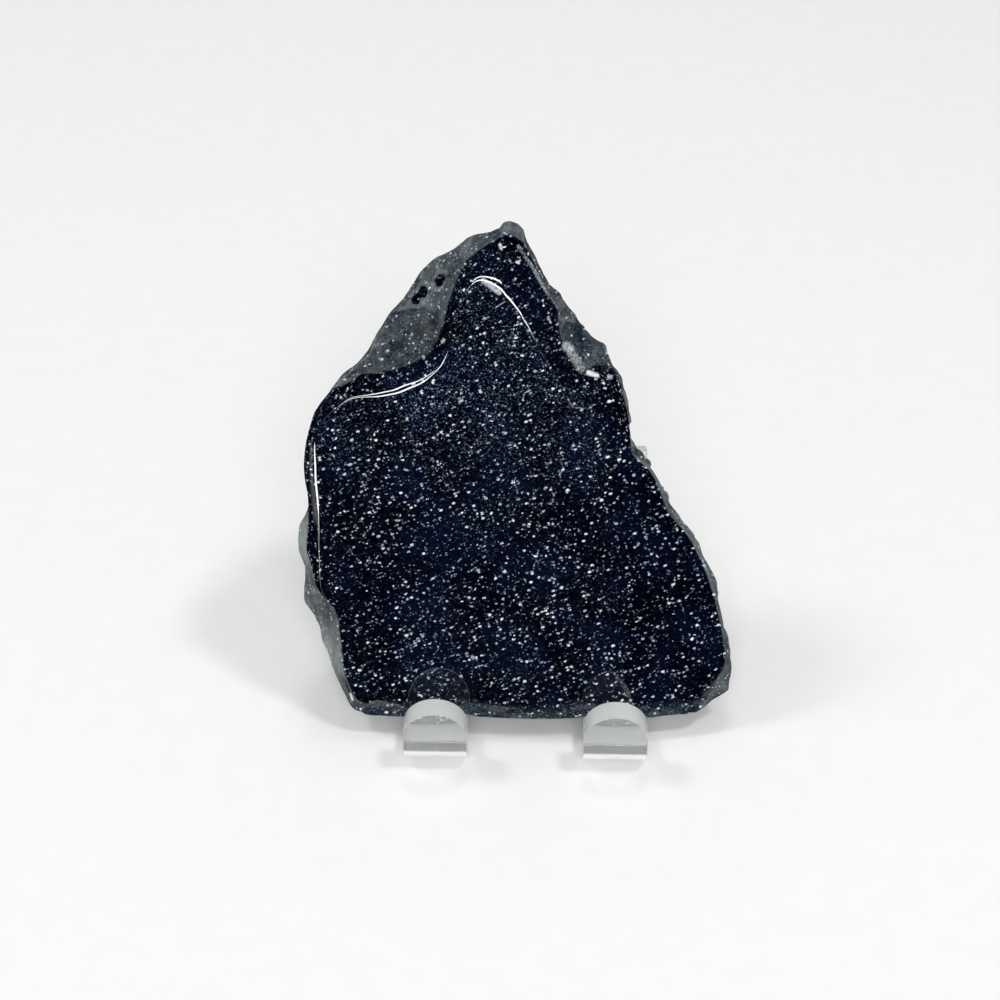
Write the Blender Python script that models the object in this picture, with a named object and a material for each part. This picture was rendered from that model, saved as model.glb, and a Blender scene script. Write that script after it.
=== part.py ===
"""A slab of specular hematite leaning on a small clear acrylic easel.

The easel is one heat-bent sheet: two front arms that turn up into rounded lips, a back plate,
and a rear leg cut from between the arms. The stone is a fractured slab with a polished front.
X runs to the right, Y to the back and Z up. The origin is on the table, under the middle of the
whole object's box.
"""

import math

import bmesh
import bpy
import numpy as np
from mathutils import Vector

MM = 0.001

# Easel sheet, in metres
SHEET = 3.0 * MM
EASEL_WIDTH = 32.2 * MM
ARM_WIDTH = 8.4 * MM
LIP_HEIGHT = 10.3 * MM
BEND_INNER_RADIUS = 1.0 * MM
PLATE_FOOT_Y = 20.5 * MM
PLATE_LENGTH = 31.0 * MM
LEAN = math.radians(24.0)
LEG_ROOT = 21.0 * MM
LEG_SPREAD = math.radians(36.0)
LEG_KERF = 1.2 * MM
LEG_LIFT = 0.02 * MM
POLISHED_EDGE = 0.35 * MM
EDGE_ANGLE = 50.0
LIP_STEPS = 7
BEND_STEPS = 5

# Place of the stone on the easel
REST_GAP = 0.3 * MM
FACE_FOOT_Y = 6.5 * MM
FACE_FOOT_Z = 4.0 * MM
STONE_SHIFT_X = -1.4 * MM

# Middle of the whole object's box, measured from the front of the lips and the easel's middle
BOX_MIDDLE_X = -1.6 * MM
BOX_MIDDLE_Y = 21.45 * MM

# The stone's outlines, in millimetres on its polished face: u to the right, v up, w towards the
# viewer. The face is at w = 0.
MIDDLE = (0.0, 26.0)
STATION_STEP = 1.7

FACE_EDGE = [
    (-21.3, 1.5), (-6.5, 1.4), (9.3, 1.4), (23.6, 1.4), (26.0, 2.6), (27.4, 4.5), (28.0, 7.0),
    (27.5, 10.5), (26.8, 13.6), (25.8, 17.0), (23.6, 22.4), (21.3, 26.2), (19.9, 27.4),
    (18.9, 29.0), (18.3, 30.9), (17.2, 33.4), (16.2, 34.5), (14.8, 35.6), (14.1, 36.9),
    (13.5, 39.3), (13.1, 41.7), (11.8, 43.6), (9.1, 42.9), (5.5, 45.1), (3.2, 48.8),
    (1.4, 52.7), (-0.3, 55.9), (-2.0, 58.3), (-3.9, 59.5), (-6.0, 59.4), (-7.7, 56.8),
    (-9.0, 53.2), (-9.9, 49.9), (-10.7, 47.5), (-13.5, 45.5), (-16.7, 44.1), (-20.6, 44.2),
    (-23.3, 42.4), (-25.3, 40.4), (-26.1, 37.7), (-26.2, 33.7), (-26.3, 28.9), (-26.0, 25.5),
    (-26.0, 21.3), (-25.9, 17.1), (-23.8, 14.1), (-23.3, 10.1), (-22.9, 5.6),
]

SHOULDER = [
    (-21.6, 0.6, -0.3), (23.7, 0.6, -0.5), (28.6, 6.8, -3.2), (28.0, 10.6, -3.4),
    (26.3, 17.1, -3.2), (22.5, 25.2, -3.0), (20.5, 27.5, -3.0), (18.0, 33.2, -2.5),
    (14.8, 37.0, -2.5), (13.4, 43.0, -3.0), (12.0, 46.0, -3.5), (9.8, 46.6, -3.0),
    (7.8, 45.9, -2.0), (6.2, 48.8, -2.0), (5.2, 51.5, -2.0), (3.9, 55.0, -2.0),
    (2.0, 59.0, -2.0), (-0.2, 62.8, -2.0), (-1.8, 64.3, -2.5), (-4.2, 62.9, -2.0),
    (-7.1, 61.2, -2.0), (-7.8, 59.0, -2.0), (-9.2, 55.8, -2.0), (-9.8, 52.4, -2.0),
    (-10.8, 50.4, -2.0), (-11.9, 48.5, -2.0), (-16.0, 47.4, -2.0), (-18.7, 46.6, -2.0),
    (-21.2, 46.9, -2.0), (-23.3, 45.9, -2.0), (-25.0, 43.8, -2.0), (-26.2, 41.8, -2.0),
    (-27.2, 37.5, -1.5), (-27.3, 33.0, -1.3), (-27.2, 28.5, -1.3), (-27.0, 24.0, -1.5),
    (-27.0, 17.5, -1.5), (-25.2, 14.0, -1.5), (-24.6, 10.0, -1.5), (-23.9, 5.5, -1.3),
]

GIRDLE = [
    (-2.8, 64.8, -5.0), (-2.4, 65.6, -5.0), (-1.5, 65.8, -5.0), (-0.4, 65.5, -5.0),
    (0.3, 64.7, -5.0), (0.7, 63.4, -5.0), (1.4, 62.1, -5.0), (2.4, 59.9, -5.0),
    (3.8, 57.7, -5.0), (5.1, 56.2, -5.0), (5.5, 55.1, -5.0), (8.3, 51.6, -5.0),
    (9.9, 50.5, -5.0), (10.9, 49.8, -5.0), (11.2, 48.9, -5.0), (12.2, 47.0, -5.0),
    (13.3, 45.5, -5.0), (13.5, 44.3, -5.0), (14.5, 40.9, -5.0), (15.0, 39.3, -5.0),
    (14.8, 37.1, -5.0), (15.2, 36.0, -5.0), (17.1, 34.1, -5.0), (18.1, 33.1, -5.0),
    (19.1, 31.0, -5.0), (20.2, 28.5, -5.0), (21.6, 26.6, -5.0), (23.3, 24.4, -5.0),
    (24.5, 22.3, -5.0), (25.6, 20.0, -5.0), (26.8, 17.1, -5.0), (27.6, 13.6, -5.0),
    (28.2, 10.7, -5.0), (29.1, 7.9, -5.0), (29.3, 5.3, -4.5), (28.8, 2.4, -4.0),
    (26.7, 1.3, -3.0), (25.1, 0.3, -2.0), (23.7, -0.3, -1.5), (18.0, -0.5, -1.2),
    (9.4, -0.4, -1.0), (-6.6, -0.3, -1.0), (-21.6, -0.3, -1.0), (-22.3, 0.2, -1.5),
    (-23.6, 1.8, -3.0), (-24.9, 4.6, -4.5), (-25.9, 5.8, -6.5), (-26.6, 7.5, -7.0),
    (-26.9, 9.6, -7.0), (-27.9, 11.6, -7.0), (-29.1, 13.3, -7.0), (-29.2, 15.0, -7.0),
    (-28.8, 16.5, -7.0), (-28.9, 18.3, -7.0), (-29.6, 20.4, -7.0), (-29.7, 22.1, -7.0),
    (-29.4, 24.0, -7.0), (-28.5, 25.8, -6.0), (-28.0, 27.4, -5.0), (-28.0, 29.0, -5.0),
    (-28.3, 31.0, -5.0), (-28.2, 33.0, -5.0), (-27.8, 35.8, -5.0), (-27.3, 37.9, -5.0),
    (-26.8, 39.9, -6.0), (-26.2, 41.2, -7.0), (-25.5, 42.1, -7.0), (-24.5, 43.5, -7.5),
    (-23.6, 44.7, -8.0), (-22.3, 45.7, -8.0), (-20.7, 47.1, -8.0), (-19.9, 48.1, -8.0),
    (-18.9, 50.2, -8.0), (-17.2, 52.9, -8.5), (-15.6, 54.8, -8.5), (-14.3, 57.2, -8.5),
    (-13.3, 58.8, -8.5), (-12.2, 59.9, -8.5), (-10.0, 61.1, -8.0), (-8.4, 62.3, -7.5),
    (-6.8, 63.3, -7.0), (-5.0, 64.0, -6.0), (-3.7, 64.4, -5.5),
]

BACK_EDGE = [
    (-2.5, 60.5, -11.0), (4.0, 54.0, -11.5), (10.5, 45.5, -12.5), (14.0, 36.0, -13.0),
    (20.0, 26.0, -13.5), (25.5, 16.0, -13.0), (27.0, 7.0, -12.0), (24.0, 4.5, -11.5),
    (10.0, 5.2, -13.8), (-8.0, 5.2, -14.0), (-20.0, 5.2, -13.0), (-25.0, 9.0, -12.5),
    (-26.5, 16.0, -12.5), (-27.0, 24.0, -12.5), (-25.5, 34.0, -13.0), (-23.0, 40.5, -13.5),
    (-17.5, 47.5, -13.5), (-12.5, 55.0, -13.0), (-7.5, 60.0, -11.5),
]

# The flat back's depth and its share of the back edge's radius, the least step between rings,
# where the shoulder's rounding lies between its two edges, and how far the side wall swells
BACK_DEPTH = 14.1
BACK_SHARE = 0.8
RING_STEP = 0.15
ROUND_OUT = 0.55
ROUND_DOWN = 0.3
WALL_BULGE = 0.3

# Flat breaks that cross the slab: a point on each and the way it faces, as (u, v, w)
FACE_BREAKS = [
    ((9.5, 36.0, 0.0), (0.170, 0.020, 0.985)),
    ((5.4, 46.0, 0.0), (0.200, 0.105, 0.974)),
]
BACK_BREAKS = [
    ((0.0, 38.0, -14.2), (0.02, 0.17, -0.98)),
    ((18.0, 20.0, -14.2), (0.26, -0.02, -0.96)),
    ((-19.0, 22.0, -14.2), (-0.24, 0.08, -0.96)),
]

# Shell-shaped scoops that broke away: the middle of each scoop, the way it faces, its ball's
# radius and its depth
SCOOPS = [
    ((-13.0, 53.6, -5.2), (-0.66, 0.20, 0.72), 16.0, 0.6),
    ((-16.0, 49.5, -5.0), (-0.60, 0.35, 0.72), 12.0, 0.5),
    ((-9.2, 60.6, -5.0), (-0.72, 0.42, 0.55), 10.0, 0.4),
    ((7.0, 50.5, -3.6), (0.65, 0.32, 0.69), 12.0, 0.4),
    ((14.9, 37.6, -4.5), (0.95, 0.05, 0.30), 8.0, 0.35),
    ((21.2, 27.0, -5.0), (0.82, 0.50, 0.28), 12.0, 0.3),
    ((-28.0, 17.0, -4.0), (-0.82, 0.10, 0.56), 8.0, 0.4),
    ((-25.8, 8.5, -4.5), (-0.84, -0.14, 0.52), 8.0, 0.4),
    ((2.0, 52.0, -13.0), (0.10, 0.35, -0.93), 30.0, 1.6),
    ((-16.0, 40.0, -14.0), (-0.30, 0.28, -0.91), 28.0, 1.6),
    ((20.0, 12.0, -13.5), (0.34, -0.20, -0.92), 24.0, 1.4),
    ((-21.0, 10.0, -13.5), (-0.36, -0.22, -0.91), 22.0, 1.4),
    ((-10.8, 58.1, -5.4), (-0.66, 0.20, 0.72), 0.9, 0.5),
    ((-13.4, 55.7, -6.7), (-0.66, 0.20, 0.72), 0.9, 0.5),
]

# Balls smaller than PIT_RADIUS get fewer faces
PIT_RADIUS = 3.0
PIT_FINENESS = 2
SCOOP_FINENESS = 4

# Creases sharper than these stay sharp, in degrees
STONE_CREASE = 22.0
EASEL_CREASE = 40.0

# Colours from the object
STONE_COLOUR = (0.012, 0.014, 0.028, 1.0)
ACRYLIC_COLOUR = (0.97, 0.98, 0.98, 1.0)


def clear_scene():
    """Remove every object that the file opened with."""
    for old in list(bpy.data.objects):
        bpy.data.objects.remove(old, do_unlink=True)


def make_material(name, colour, roughness, metallic=0.0, transmission=0.0, ior=1.5):
    """A Principled BSDF material."""
    material = bpy.data.materials.new(name)
    material.use_nodes = True
    shader = material.node_tree.nodes["Principled BSDF"]
    shader.inputs["Base Color"].default_value = colour
    shader.inputs["Roughness"].default_value = roughness
    shader.inputs["Metallic"].default_value = metallic
    shader.inputs["Transmission Weight"].default_value = transmission
    shader.inputs["IOR"].default_value = ior
    return material


def add_object(name, bm, material):
    """Put a bmesh into the scene as a named object."""
    mesh = bpy.data.meshes.new(name)
    bm.to_mesh(mesh)
    bm.free()
    mesh.materials.append(material)
    made = bpy.data.objects.new(name, mesh)
    bpy.context.collection.objects.link(made)
    return made


def smooth_by_angle(made, degrees):
    """Shade smooth, with creases sharper than the angle kept."""
    made.data.shade_smooth()
    made.data.set_sharp_from_angle(angle=math.radians(degrees))


def bent_path(corners, radius, steps):
    """Points (y, z) along a line through the corners, each inner corner turned on an arc."""
    path = [Vector(corners[0])]
    for before, corner, after in zip(corners, corners[1:], corners[2:]):
        corner = Vector(corner)
        incoming = (corner - Vector(before)).normalized()
        outgoing = (Vector(after) - corner).normalized()
        turn = incoming.angle(outgoing)
        start = corner - incoming * radius * math.tan(turn / 2)
        side = (outgoing - incoming * incoming.dot(outgoing)).normalized()
        for step in range(steps + 1):
            angle = turn * step / steps
            sweep = incoming * math.sin(angle) + side * (1 - math.cos(angle))
            path.append(start + radius * sweep)
    path.append(Vector(corners[-1]))
    return path


def sheet_row(bm, point, edges):
    """One row of the sheet's middle surface: a vertex at each x in edges, at (y, z) = point."""
    return [bm.verts.new((x, point[0], point[1])) for x in edges]


def join_rows(bm, lower, upper):
    """Quads between two rows of equal length."""
    for i in range(len(lower) - 1):
        bm.faces.new((lower[i], lower[i + 1], upper[i + 1], upper[i]))


def add_arm(bm, left, right, path, last_row):
    """A front arm: a half-round lip, then quads along the path up to the plate."""
    radius = (right - left) / 2
    centre = (left + right) / 2
    tip = []
    for step in range(1, LIP_STEPS):
        angle = math.pi * step / LIP_STEPS
        x = centre - radius * math.cos(angle)
        tip.append(bm.verts.new((x, path[0][0], path[0][1] + radius * math.sin(angle))))
    rows = [sheet_row(bm, point, (left, right)) for point in path[:-1]] + [last_row]
    bm.faces.new([rows[0][0]] + tip + [rows[0][1]])
    for upper, lower in zip(rows, rows[1:]):
        join_rows(bm, lower, upper)


def build_easel():
    """The easel: the bent sheet's middle surface, given its thickness and polished edges."""
    half = SHEET / 2
    radius = BEND_INNER_RADIUS + half
    up = Vector((math.sin(LEAN), math.cos(LEAN)))
    foot = Vector((PLATE_FOOT_Y + half * math.cos(LEAN), -half * math.sin(LEAN)))
    knee = foot + up * ((half - foot.y) / up.y)
    root = foot + up * LEG_ROOT
    top = foot + up * PLATE_LENGTH

    side = EASEL_WIDTH / 2
    inner = side - ARM_WIDTH
    leg = inner - LEG_KERF
    bm = bmesh.new()
    root_row = sheet_row(bm, root, (-side, -inner, -leg, leg, inner, side))
    top_row = sheet_row(bm, top, (-side, -inner, -leg, leg, inner, side))
    join_rows(bm, root_row, top_row)

    lip_start = (half, LIP_HEIGHT - ARM_WIDTH / 2)
    arm_path = bent_path([lip_start, (half, half), knee, root], radius, BEND_STEPS)
    add_arm(bm, -side, -inner, arm_path, root_row[0:2])
    add_arm(bm, inner, side, arm_path, root_row[4:6])

    turn = LEAN + LEG_SPREAD
    corner = root - up * radius * math.tan(turn / 2)
    end_height = half * math.sin(LEG_SPREAD) + LEG_LIFT
    end_height -= POLISHED_EDGE * (math.sin(LEG_SPREAD) + math.cos(LEG_SPREAD) - 1)
    reach = (corner.y - end_height) / math.cos(LEG_SPREAD)
    end = corner + reach * Vector((math.sin(LEG_SPREAD), -math.cos(LEG_SPREAD)))
    leg_path = bent_path([root, corner, end], radius, BEND_STEPS)[2:]
    rows = [root_row[2:4]] + [sheet_row(bm, point, (-leg, leg)) for point in leg_path]
    for upper, lower in zip(rows, rows[1:]):
        join_rows(bm, lower, upper)

    bmesh.ops.recalc_face_normals(bm, faces=bm.faces)
    acrylic = make_material("clear_acrylic", ACRYLIC_COLOUR, 0.03, transmission=1.0, ior=1.49)
    easel = add_object("acrylic_easel", bm, acrylic)
    easel.location = (-BOX_MIDDLE_X, -BOX_MIDDLE_Y, 0.0)
    sheet = easel.modifiers.new("sheet", "SOLIDIFY")
    sheet.thickness = SHEET
    sheet.offset = 0.0
    sheet.use_even_offset = True
    polish = easel.modifiers.new("polished_edges", "BEVEL")
    polish.width = POLISHED_EDGE
    polish.segments = 2
    polish.limit_method = "ANGLE"
    polish.angle_limit = math.radians(EDGE_ANGLE)
    smooth_by_angle(easel, EASEL_CREASE)
    return easel


def by_angle(outline):
    """An outline as arrays sorted by angle round MIDDLE: angle, radius and depth."""
    points = np.array([(*point, 0.0)[:3] for point in outline])
    offset = points[:, :2] - MIDDLE
    angle = np.arctan2(offset[:, 1], offset[:, 0]) % (2 * math.pi)
    order = np.argsort(angle)
    return angle[order], np.hypot(offset[:, 0], offset[:, 1])[order], points[order, 2]


def station_angles():
    """Angles round MIDDLE at every point of the girdle and at even steps between them."""
    points = np.array(GIRDLE)[:, :2] - MIDDLE
    stations = []
    for start, end in zip(points, np.roll(points, -1, axis=0)):
        count = max(1, round(np.linalg.norm(end - start) / STATION_STEP))
        for share in np.arange(count) / count:
            stations.append(start + share * (end - start))
    stations = np.array(stations)
    return np.sort(np.arctan2(stations[:, 1], stations[:, 0]) % (2 * math.pi))


def ring_at(outline, angles):
    """Radius and depth of an outline at each of the angles."""
    angle, radius, depth = by_angle(outline)
    turn = 2 * math.pi
    radius_at = np.interp(angles, angle, radius, period=turn)
    depth_at = np.interp(angles, angle, depth, period=turn)
    return radius_at, depth_at


def stone_rings(angles):
    """The slab's rings from the polished face's edge round to the back, as (radius, depth)."""
    girdle_r, girdle_w = ring_at(GIRDLE, angles)
    shoulder_r, shoulder_w = ring_at(SHOULDER, angles)
    shoulder_r = np.minimum(shoulder_r, girdle_r - RING_STEP)
    face_r, face_w = ring_at(FACE_EDGE, angles)
    face_r = np.minimum(face_r, shoulder_r - RING_STEP)
    back_r, back_w = ring_at(BACK_EDGE, angles)
    round_r = face_r + ROUND_OUT * (shoulder_r - face_r)
    round_w = ROUND_DOWN * shoulder_w
    wall_r = (girdle_r + back_r) / 2 + WALL_BULGE
    wall_w = (girdle_w + back_w) / 2
    flat_r = BACK_SHARE * back_r
    flat_w = np.full_like(flat_r, -BACK_DEPTH)
    return [
        (face_r, face_w), (round_r, round_w), (shoulder_r, shoulder_w), (girdle_r, girdle_w),
        (wall_r, wall_w), (back_r, back_w), (flat_r, flat_w),
    ]


def loft(bm, angles, rings):
    """Skin the rings and close the polished face and the back with flat caps."""
    rows = []
    for radius, depth in rings:
        u = MIDDLE[0] + radius * np.cos(angles)
        v = MIDDLE[1] + radius * np.sin(angles)
        points = np.column_stack((u, v, depth)) * MM
        rows.append([bm.verts.new(point) for point in points])
    for outer, inner in zip(rows, rows[1:]):
        for i in range(len(outer)):
            j = (i + 1) % len(outer)
            bm.faces.new((outer[i], inner[i], inner[j], outer[j]))
    bm.faces.new(rows[0])
    bm.faces.new(rows[-1][::-1])


def cut_flat(bm, point, normal):
    """Break the stone off flat along a plane, on the side that the normal points to."""
    everything = bm.verts[:] + bm.edges[:] + bm.faces[:]
    bmesh.ops.bisect_plane(
        bm, geom=everything, plane_co=point, plane_no=normal, clear_outer=True, dist=1e-6
    )
    rim = [edge for edge in bm.edges if edge.is_boundary]
    bmesh.ops.holes_fill(bm, edges=rim)


def add_scoop(stone, index, scoop):
    """A large hidden ball that breaks one shell-shaped scoop out of the stone."""
    middle, facing, radius, depth = scoop
    centre = Vector(middle) + Vector(facing).normalized() * (radius - depth)
    bm = bmesh.new()
    fineness = PIT_FINENESS if radius < PIT_RADIUS else SCOOP_FINENESS
    bmesh.ops.create_icosphere(bm, subdivisions=fineness, radius=radius * MM)
    mesh = bpy.data.meshes.new(f"scoop_{index}")
    bm.to_mesh(mesh)
    bm.free()
    ball = bpy.data.objects.new(mesh.name, mesh)
    bpy.context.collection.objects.link(ball)
    ball.hide_render = True
    ball.display_type = "WIRE"
    ball.parent = stone
    ball.location = centre * MM
    ball.rotation_euler = (0.3 * index, 0.5 * index, 0.0)
    cut = stone.modifiers.new(mesh.name, "BOOLEAN")
    cut.operation = "DIFFERENCE"
    cut.object = ball


def build_stone():
    """The stone: a lofted slab, broken flat along planes, with scoops taken out of it."""
    angles = station_angles()
    bm = bmesh.new()
    loft(bm, angles, stone_rings(angles))
    bmesh.ops.recalc_face_normals(bm, faces=bm.faces)
    for point, normal in FACE_BREAKS + BACK_BREAKS:
        cut_flat(bm, Vector(point) * MM, Vector(normal))
    base_v = (SHEET + REST_GAP - FACE_FOOT_Z) / math.cos(LEAN)
    cut_flat(bm, Vector((0.0, base_v, 0.0)), Vector((0.0, -math.cos(LEAN), -math.sin(LEAN))))
    bmesh.ops.recalc_face_normals(bm, faces=bm.faces)
    dark = make_material("glittering_hematite", STONE_COLOUR, 0.15, metallic=0.3)
    stone = add_object("hematite_slab", bm, dark)
    stone.location = (STONE_SHIFT_X - BOX_MIDDLE_X, FACE_FOOT_Y - BOX_MIDDLE_Y, FACE_FOOT_Z)
    stone.rotation_euler = (math.pi / 2 - LEAN, 0.0, 0.0)
    for index, scoop in enumerate(SCOOPS, start=1):
        add_scoop(stone, index, scoop)
    smooth_by_angle(stone, STONE_CREASE)
    return stone


def main():
    """Build the stone and its easel."""
    clear_scene()
    build_easel()
    build_stone()


main()
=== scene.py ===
"""Looks, light and camera for a slab of specular hematite on a small clear acrylic easel.

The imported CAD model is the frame. Both of its nodes are replaced by finer pieces in the same
place: the stone as one closed surface over an angle and a way across, and the easel as one bent
sheet. Lengths in the tables are millimetres and the scene is in metres. X runs to the right, Y to
the back and Z up.
"""

import logging
import math
from dataclasses import dataclass, field
from enum import Enum, IntEnum

import bmesh
import bpy
import numpy as np
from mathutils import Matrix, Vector


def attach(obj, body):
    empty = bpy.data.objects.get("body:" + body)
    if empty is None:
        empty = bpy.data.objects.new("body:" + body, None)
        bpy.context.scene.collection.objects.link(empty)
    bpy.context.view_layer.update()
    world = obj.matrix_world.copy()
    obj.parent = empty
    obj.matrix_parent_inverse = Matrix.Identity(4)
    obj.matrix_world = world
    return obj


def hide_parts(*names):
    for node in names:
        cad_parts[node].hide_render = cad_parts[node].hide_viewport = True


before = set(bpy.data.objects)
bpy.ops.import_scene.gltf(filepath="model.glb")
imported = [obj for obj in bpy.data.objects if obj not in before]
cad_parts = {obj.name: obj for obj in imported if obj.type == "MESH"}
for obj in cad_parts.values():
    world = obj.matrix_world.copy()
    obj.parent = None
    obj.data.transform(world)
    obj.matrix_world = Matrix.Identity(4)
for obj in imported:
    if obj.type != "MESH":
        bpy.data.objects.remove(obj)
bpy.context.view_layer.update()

log = logging.getLogger("scene")

MM = 0.001
TURN = 2 * math.pi
Colour = tuple[float, float, float, float]
Point = tuple[float, ...]

LEAN = math.radians(24.0)
EASEL_MIDDLE = np.array((1.6, -21.45, 0.0))
FACE_FOOT = np.array((0.2, -14.95, 4.0))


class Ring(IntEnum):
    """The lines round the stone, from the middle of its polished face to the middle of its back."""

    CENTRE = 0
    FACE_EDGE = 1
    SHOULDER = 2
    GIRDLE = 3
    WALL = 4
    BACK_EDGE = 5
    BACK_FLAT = 6
    BACK_CENTRE = 7


class Role(Enum):
    """What a light is there for."""

    FILL = "lights the scene, and no polish mirrors it"
    GLINT = "shows only as a bright line in polish"


def lattice_value(cell: np.ndarray, seed: int) -> np.ndarray:
    """A fixed random value for each whole-numbered lattice point.

    Args:
        cell: Lattice points as whole numbers, shape (..., 3).
        seed: Picks one of many unrelated lattices.

    Returns:
        Values from -1 to 1, shape (...). The three numbers are multiplied by large odd numbers,
        joined by exclusive or and stirred twice.
    """
    whole = cell.astype(np.int64).astype(np.uint32)
    mixed = whole[..., 0] * np.uint32(0x9E3779B1)
    mixed ^= whole[..., 1] * np.uint32(0x85EBCA77)
    mixed ^= whole[..., 2] * np.uint32(0xC2B2AE3D)
    mixed ^= np.uint32((seed * 0x27D4EB2F) % 2**32)
    for factor in (0x2C1B3C6D, 0x297A2D39):
        mixed = (mixed ^ (mixed >> np.uint32(15))) * np.uint32(factor)
    mixed ^= mixed >> np.uint32(15)
    return mixed.astype(np.float64) / 2**31 - 1.0


def smooth_noise(points: np.ndarray, size: float, seed: int) -> np.ndarray:
    """Smooth random relief: lattice values blended with a fifth-power ease along each axis.

    Args:
        points: Places, shape (..., 3).
        size: Distance between lattice points, in the unit of the places.
        seed: Picks the lattice.

    Returns:
        Values from -1 to 1, shape (...).
    """
    scaled = points / size + 17.3 * seed
    low = np.floor(scaled)
    part = scaled - low
    ease = part**3 * (part * (part * 6 - 15) + 10)
    total = np.zeros(points.shape[:-1])
    for corner in np.ndindex(2, 2, 2):
        share = np.where(np.array(corner) == 1, ease, 1 - ease).prod(axis=-1)
        total += share * lattice_value(low + np.array(corner), seed)
    return total


def ease_step(low: float, high: float, value: np.ndarray) -> np.ndarray:
    """A smooth step from 0 at low to 1 at high, 3 x squared less 2 x cubed in between."""
    share = np.clip((value - low) / (high - low), 0.0, 1.0)
    return share * share * (3 - 2 * share)


def tight_ends(count: int) -> np.ndarray:
    """Shares from 0 up to 1, the last left out, crowded at both ends so that creases stay crisp."""
    even = np.arange(count) / count
    return even - 0.82 * np.sin(TURN * even) / TURN


def around(outline: list[Point], middle: Point, angles: np.ndarray) -> np.ndarray:
    """Look an outline up by angle round the middle.

    Args:
        outline: Points (u, v, more values), in any order.
        middle: The point (u, v) that the angles turn about.
        angles: Where to look, in radians.

    Returns:
        One row for the distance from the middle and one for each further value, read along
        straight stretches in angle between the outline's points.
    """
    points = np.array(outline)
    offset = points[:, :2] - np.array(middle)
    angle = np.arctan2(offset[:, 1], offset[:, 0]) % TURN
    order = np.argsort(angle)
    values = np.column_stack((np.hypot(offset[:, 0], offset[:, 1]), points[:, 2:]))[order]
    return np.array([np.interp(angles, angle[order], row, period=TURN) for row in values.T])


def softened(ring: np.ndarray, width: float) -> np.ndarray:
    """A closed ring of values, smoothed by a bell curve whose spread is so many columns wide.

    In waves round the ring, the k-th is scaled by e to the minus 2 (pi k width / count) squared.
    """
    waves = np.fft.rfft(ring)
    k = np.arange(len(waves))
    return np.fft.irfft(waves * np.exp(-2 * (math.pi * k * width / len(ring)) ** 2), len(ring))


def unit(vectors: np.ndarray) -> np.ndarray:
    """The vectors at length 1."""
    return vectors / np.maximum(np.linalg.norm(vectors, axis=-1, keepdims=True), 1e-12)


def grid_normals(grid: np.ndarray) -> np.ndarray:
    """Outward normals of a grid whose columns close on themselves.

    Args:
        grid: Places, shape (rows, columns, 3).

    Returns:
        The cross product of the step down the rows and the step round the columns, at length 1.
    """
    down = np.gradient(grid, axis=0)
    turn = np.roll(grid, -1, axis=1) - np.roll(grid, 1, axis=1)
    return unit(np.cross(down, turn))


def ring_indices(rows: int, columns: int) -> np.ndarray:
    """Corner numbers of the quads between the rows of a grid that closes round its columns."""
    number = np.arange(rows * columns).reshape(rows, columns)
    beside = np.roll(number, -1, axis=1)
    quads = (number[:-1], number[1:], beside[1:], beside[:-1])
    return np.stack(quads, axis=-1).reshape(-1, 4)


def from_face(places: np.ndarray) -> np.ndarray:
    """Carry places (u, v, w) on the leaning face, in millimetres, to the scene, in metres.

    The face is leant back about its foot: u stays, v goes up and back, w forward and up.
    """
    sine, cosine = math.sin(LEAN), math.cos(LEAN)
    turn = np.array(((1.0, 0.0, 0.0), (0.0, sine, cosine), (0.0, -cosine, sine)))
    return (places @ turn + FACE_FOOT) * MM


def add_piece(name: str, mesh: bpy.types.Mesh, node: str) -> bpy.types.Object:
    """Put a mesh into the scene as a piece that stands for a CAD node.

    Args:
        name: The piece's name.
        mesh: Its mesh, in place.
        node: The CAD node that it replaces.

    Returns:
        The new object, at the origin.
    """
    piece = bpy.data.objects.new(name, mesh)
    bpy.context.scene.collection.objects.link(piece)
    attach(piece, "root")
    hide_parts(node)
    return piece


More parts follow.
